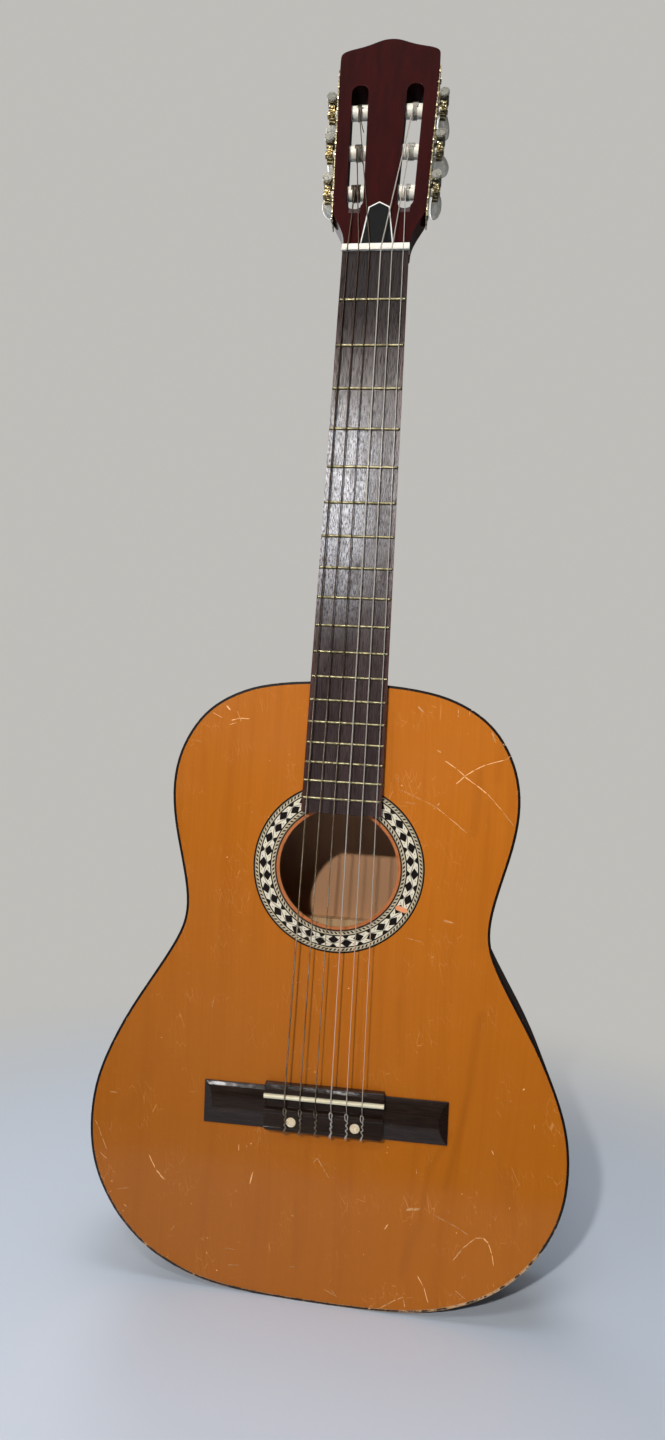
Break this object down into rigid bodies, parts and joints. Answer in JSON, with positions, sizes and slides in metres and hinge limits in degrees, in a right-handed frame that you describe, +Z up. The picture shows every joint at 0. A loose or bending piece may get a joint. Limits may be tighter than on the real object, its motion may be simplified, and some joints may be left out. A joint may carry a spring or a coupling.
{
  "type": "classical guitar",
  "caption": "Nylon-string guitar with a hollow flat-backed body, soundhole rosette, bolted tie bridge, fretted neck and slotted head with worm-geared tuning machines.",
  "frame": {"origin": "middle of the bounding box's bottom, under the tail of the body", "axes": "+Z up the neck towards the head, -Y out of the soundboard, +X the treble side (the side of the thinnest string)"},
  "size_m": [0.3844, 0.1084, 1.0099],
  "materials": {
    "top_wood": "glossy amber varnish over spruce",
    "side_wood": "glossy dark red-brown",
    "binding": "black, worn pale at the corners",
    "rosette": "printed mosaic ring under varnish",
    "inner_wood": "unfinished",
    "bridge_wood": "near-black, satin",
    "saddle_plastic": "cream",
    "nut_plastic": "ivory white",
    "pearl": "pearl",
    "steel": "plain",
    "neck_wood": "satin dark red-brown",
    "fingerboard_wood": "open-grained rosewood, satin",
    "fret_brass": "polished, tarnished",
    "badge_black": "gloss black",
    "badge_white": "white",
    "plate_metal": "plated, pierced edge",
    "wound_string": "tarnished silver-plated winding",
    "nylon_string": "clear nylon",
    "roller_plastic": "white",
    "cog_brass": "bright",
    "worm_metal": "plated",
    "button_pearloid": "pearloid"
  },
  "bodies": {
    "root": {"soundboard": "top_wood", "rosette": "rosette", "back": "side_wood", "side_bass": "side_wood", "side_treble": "side_wood", "top_binding": "binding", "back_binding": "binding", "top_lining": "inner_wood", "back_lining": "inner_wood", "neck_block": "inner_wood", "tail_block": "inner_wood", "fan_braces": "inner_wood", "harmonic_bars": "inner_wood", "back_braces": "inner_wood", "bridge": "bridge_wood", "saddle": "saddle_plastic", "bridge_dots": "pearl", "bridge_bolts": "steel", "neck": "neck_wood", "neck_bar": "steel", "heel_cap": "neck_wood", "fingerboard": "fingerboard_wood", "frets": "fret_brass", "nut": "nut_plastic", "head_badge": "badge_black", "badge_border": "badge_white", "tuner_plate_bass": "plate_metal", "tuner_plate_treble": "plate_metal", "tuner_plate_screws": "plate_metal", "string_e6": "wound_string", "string_a5": "wound_string", "string_d4": "wound_string", "string_g3": "nylon_string", "string_b2": "nylon_string", "string_e1": "nylon_string"},
    "peg_e6": {"tuner_worm_e6": "worm_metal", "tuner_button_e6": "button_pearloid"},
    "roller_e6": {"string_roller_e6": "roller_plastic", "tuner_cog_e6": "cog_brass"},
    "peg_a5": {"tuner_worm_a5": "worm_metal", "tuner_button_a5": "button_pearloid"},
    "roller_a5": {"string_roller_a5": "roller_plastic", "tuner_cog_a5": "cog_brass"},
    "peg_d4": {"tuner_worm_d4": "worm_metal", "tuner_button_d4": "button_pearloid"},
    "roller_d4": {"string_roller_d4": "roller_plastic", "tuner_cog_d4": "cog_brass"},
    "peg_g3": {"tuner_worm_g3": "worm_metal", "tuner_button_g3": "button_pearloid"},
    "roller_g3": {"string_roller_g3": "roller_plastic", "tuner_cog_g3": "cog_brass"},
    "peg_b2": {"tuner_worm_b2": "worm_metal", "tuner_button_b2": "button_pearloid"},
    "roller_b2": {"string_roller_b2": "roller_plastic", "tuner_cog_b2": "cog_brass"},
    "peg_e1": {"tuner_worm_e1": "worm_metal", "tuner_button_e1": "button_pearloid"},
    "roller_e1": {"string_roller_e1": "roller_plastic", "tuner_cog_e1": "cog_brass"}
  },
  "joints": [
    {"name": "peg_e6_turn", "type": "hinge", "parent": "root", "child": "peg_e6", "pos_m": [-0.04231, -0.02124, 0.89272], "axis": [0, 0.9863, -0.165], "continuous": true},
    {"name": "roller_e6_turn", "type": "hinge", "parent": "root", "child": "roller_e6", "pos_m": [-0.04208, -0.02275, 0.88369], "axis": [0.9997, 0.0041, 0.0244], "continuous": true, "deforming": ["string_e6"]},
    {"name": "peg_a5_turn", "type": "hinge", "parent": "root", "child": "peg_a5", "pos_m": [-0.04318, -0.01546, 0.92723], "axis": [0, 0.9863, -0.165], "continuous": true},
    {"name": "roller_a5_turn", "type": "hinge", "parent": "root", "child": "roller_a5", "pos_m": [-0.04295, -0.01697, 0.9182], "axis": [0.9997, 0.0041, 0.0244], "continuous": true, "deforming": ["string_a5"]},
    {"name": "peg_d4_turn", "type": "hinge", "parent": "root", "child": "peg_d4", "pos_m": [-0.04404, -0.00969, 0.96174], "axis": [0, 0.9863, -0.165], "continuous": true},
    {"name": "roller_d4_turn", "type": "hinge", "parent": "root", "child": "roller_d4", "pos_m": [-0.04382, -0.0112, 0.95271], "axis": [0.9997, 0.0041, 0.0244], "continuous": true, "deforming": ["string_d4"]},
    {"name": "peg_g3_turn", "type": "hinge", "parent": "root", "child": "peg_g3", "pos_m": [0.04404, -0.00969, 0.96174], "axis": [0, 0.9863, -0.165], "continuous": true},
    {"name": "roller_g3_turn", "type": "hinge", "parent": "root", "child": "roller_g3", "pos_m": [0.04382, -0.0112, 0.95271], "axis": [0.9997, -0.0041, -0.0244], "continuous": true, "deforming": ["string_g3"]},
    {"name": "peg_b2_turn", "type": "hinge", "parent": "root", "child": "peg_b2", "pos_m": [0.04318, -0.01546, 0.92723], "axis": [0, 0.9863, -0.165], "continuous": true},
    {"name": "roller_b2_turn", "type": "hinge", "parent": "root", "child": "roller_b2", "pos_m": [0.04295, -0.01697, 0.9182], "axis": [0.9997, -0.0041, -0.0244], "continuous": true, "deforming": ["string_b2"]},
    {"name": "peg_e1_turn", "type": "hinge", "parent": "root", "child": "peg_e1", "pos_m": [0.04231, -0.02124, 0.89272], "axis": [0, 0.9863, -0.165], "continuous": true},
    {"name": "roller_e1_turn", "type": "hinge", "parent": "root", "child": "roller_e1", "pos_m": [0.04208, -0.02275, 0.88369], "axis": [0.9997, -0.0041, -0.0244], "continuous": true, "deforming": ["string_e1"]}
  ],
  "couplings": [
    {"joint": "roller_e6_turn", "follows": "peg_e6_turn", "ratio": 0.071429},
    {"joint": "roller_a5_turn", "follows": "peg_a5_turn", "ratio": 0.071429},
    {"joint": "roller_d4_turn", "follows": "peg_d4_turn", "ratio": 0.071429},
    {"joint": "roller_g3_turn", "follows": "peg_g3_turn", "ratio": 0.071429},
    {"joint": "roller_b2_turn", "follows": "peg_b2_turn", "ratio": 0.071429},
    {"joint": "roller_e1_turn", "follows": "peg_e1_turn", "ratio": 0.071429}
  ]
}
